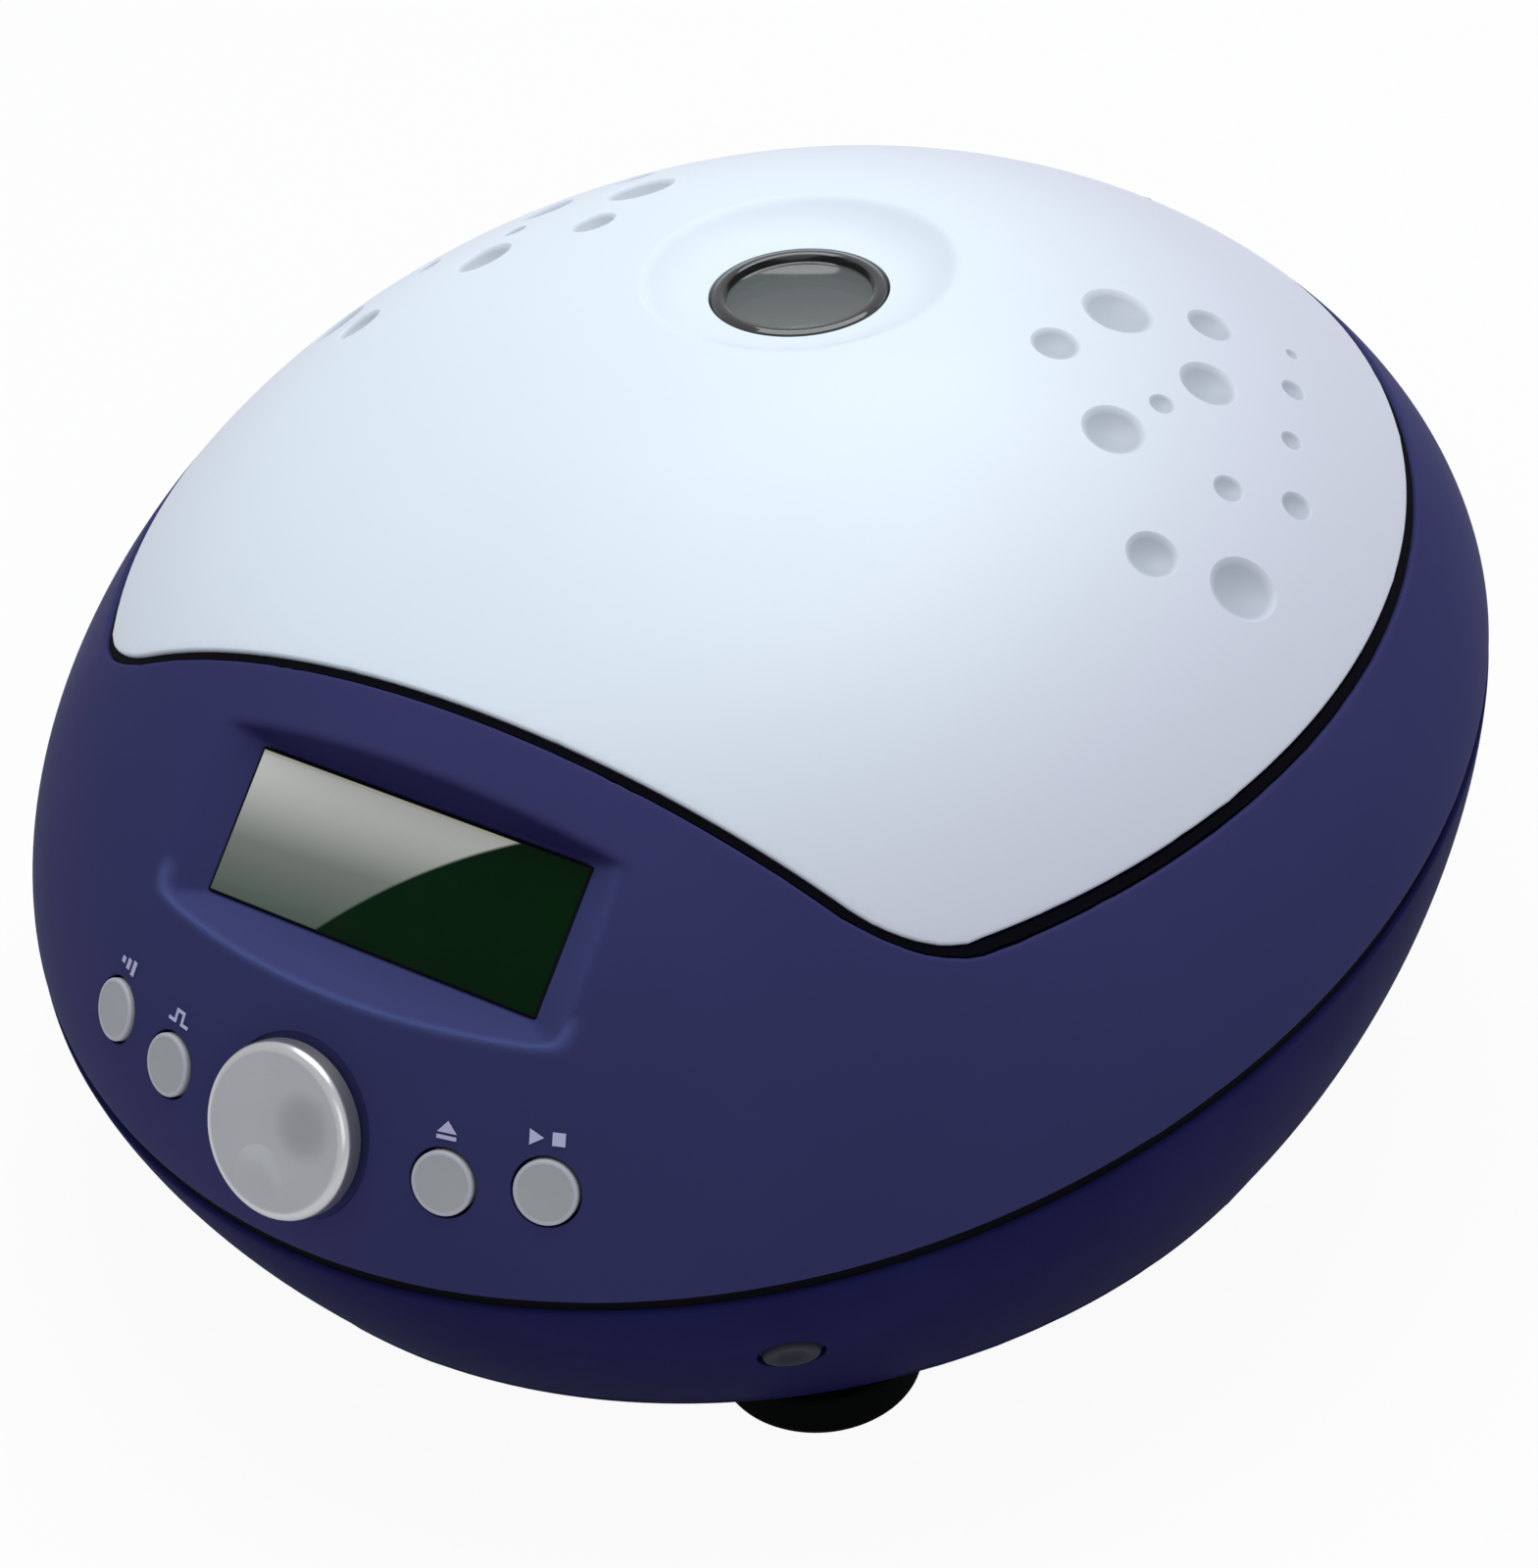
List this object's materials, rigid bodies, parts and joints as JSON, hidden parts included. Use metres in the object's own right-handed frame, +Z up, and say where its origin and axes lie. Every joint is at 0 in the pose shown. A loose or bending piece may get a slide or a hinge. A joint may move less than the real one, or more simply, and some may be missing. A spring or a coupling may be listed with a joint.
{
  "type": "mini centrifuge",
  "caption": "Egg-shaped bench microcentrifuge with a hinged lid, sight window, angle rotor in a steel bowl, display, push knob, touch buttons and a rear power panel.",
  "frame": {"origin": "on the bench, under the middle of the whole instrument", "axes": "+X to the instrument's right seen from the front, +Y from the front to the back, +Z up"},
  "size_m": [0.2448, 0.258, 0.1412],
  "materials": {
    "shell_blue": "fine-textured indigo moulded plastic with a soft sheen",
    "belly_blue": "darker indigo moulded plastic",
    "lid_white": "satin cool white moulded plastic",
    "liner_grey": "matt light grey moulded plastic",
    "smoked_glass": "polished smoked window",
    "display_glass": "glossy dark green display cover",
    "silver": "satin silver metal",
    "button_grey": "satin grey key",
    "black_plastic": "black moulded plastic",
    "rubber": "dull black rubber",
    "steel": "spun and brushed stainless steel",
    "alloy": "turned and anodised alloy",
    "circuit_board": "green circuit board",
    "plug_grey": "dark grey plastic plug"
  },
  "bodies": {
    "base": {"lower_housing": "belly_blue", "upper_housing": "shell_blue", "base_plate": "alloy", "foot_front_left": "rubber", "foot_front_right": "rubber", "foot_rear_left": "rubber", "foot_rear_right": "rubber", "base_screw_front_left": "steel", "base_screw_front_right": "steel", "base_screw_rear_left": "steel", "base_screw_rear_right": "steel", "hinge_bracket_right": "black_plastic", "hinge_bracket_left": "black_plastic", "hinge_pin": "steel", "top_deck": "belly_blue", "chamber_bowl": "steel", "chamber_seal": "rubber", "motor": "alloy", "upper_bearing": "steel", "lower_bearing": "steel", "motor_plate": "steel", "shaft_boot": "rubber", "motor_damper_1": "rubber", "motor_damper_2": "rubber", "motor_damper_3": "rubber", "lock_body": "black_plastic", "lock_coil": "steel", "encoder_body": "black_plastic", "control_board": "circuit_board", "display_glass": "display_glass", "display_module": "circuit_board", "power_inlet": "black_plastic", "switch_frame": "black_plastic", "power_board": "circuit_board"},
    "lid": {"lid_shell": "lid_white", "lid_liner": "liner_grey", "lid_window": "smoked_glass", "window_ring": "black_plastic", "lid_hinge_arm": "alloy", "lid_hook": "steel"},
    "rotor": {"rotor": "alloy", "rotor_nut": "black_plastic", "drive_shaft": "steel"},
    "knob_carrier": {"encoder_plunger": "steel"},
    "knob": {"knob": "silver", "encoder_shaft": "steel"},
    "button_far_left": {"button_far_left": "button_grey"},
    "button_left": {"button_left": "button_grey"},
    "button_right": {"button_right": "button_grey"},
    "button_far_right": {"button_far_right": "button_grey"},
    "lock_bolt": {"lock_bolt": "steel"},
    "switch_rocker": {"switch_rocker": "black_plastic"},
    "release_plug": {"release_plug": "plug_grey"}
  },
  "joints": [
    {"name": "lid_hinge", "type": "hinge", "parent": "base", "child": "lid", "pos_m": [0, 0.1171, 0.11127], "axis": [-1, 0, 0], "range_deg": [0, 75]},
    {"name": "rotor_spin", "type": "hinge", "parent": "base", "child": "rotor", "pos_m": [0, 0.0252, 0.048], "axis": [0, 0, 1], "continuous": true},
    {"name": "knob_press", "type": "slide", "parent": "base", "child": "knob_carrier", "axis": [0, 0.9012, -0.4334], "range_m": [0, 0.001], "stiffness_N_per_m": 2000},
    {"name": "knob_turn", "type": "hinge", "parent": "knob_carrier", "child": "knob", "pos_m": [0, -0.12004, 0.06571], "axis": [0, -0.9012, 0.4334], "continuous": true},
    {"name": "button_far_left_press", "type": "slide", "parent": "base", "child": "button_far_left", "axis": [0.318, 0.8504, -0.4192], "range_m": [0, 0.0012], "stiffness_N_per_m": 800},
    {"name": "button_left_press", "type": "slide", "parent": "base", "child": "button_left", "axis": [0.2036, 0.8875, -0.4135], "range_m": [0, 0.0012], "stiffness_N_per_m": 800},
    {"name": "button_right_press", "type": "slide", "parent": "base", "child": "button_right", "axis": [-0.2036, 0.8875, -0.4135], "range_m": [0, 0.0012], "stiffness_N_per_m": 800},
    {"name": "button_far_right_press", "type": "slide", "parent": "base", "child": "button_far_right", "axis": [-0.318, 0.8504, -0.4192], "range_m": [0, 0.0012], "stiffness_N_per_m": 800},
    {"name": "lock_bolt_slide", "type": "slide", "parent": "base", "child": "lock_bolt", "axis": [-1, 0, 0], "range_m": [0, 0.005]},
    {"name": "switch_rock", "type": "hinge", "parent": "base", "child": "switch_rocker", "pos_m": [0.019, 0.1027, 0.032], "axis": [-1, 0, 0], "range_deg": [0, 16]},
    {"name": "release_plug_pull", "type": "slide", "parent": "base", "child": "release_plug", "axis": [0.5881, -0.6744, -0.4464], "range_m": [0, 0.012]}
  ]
}
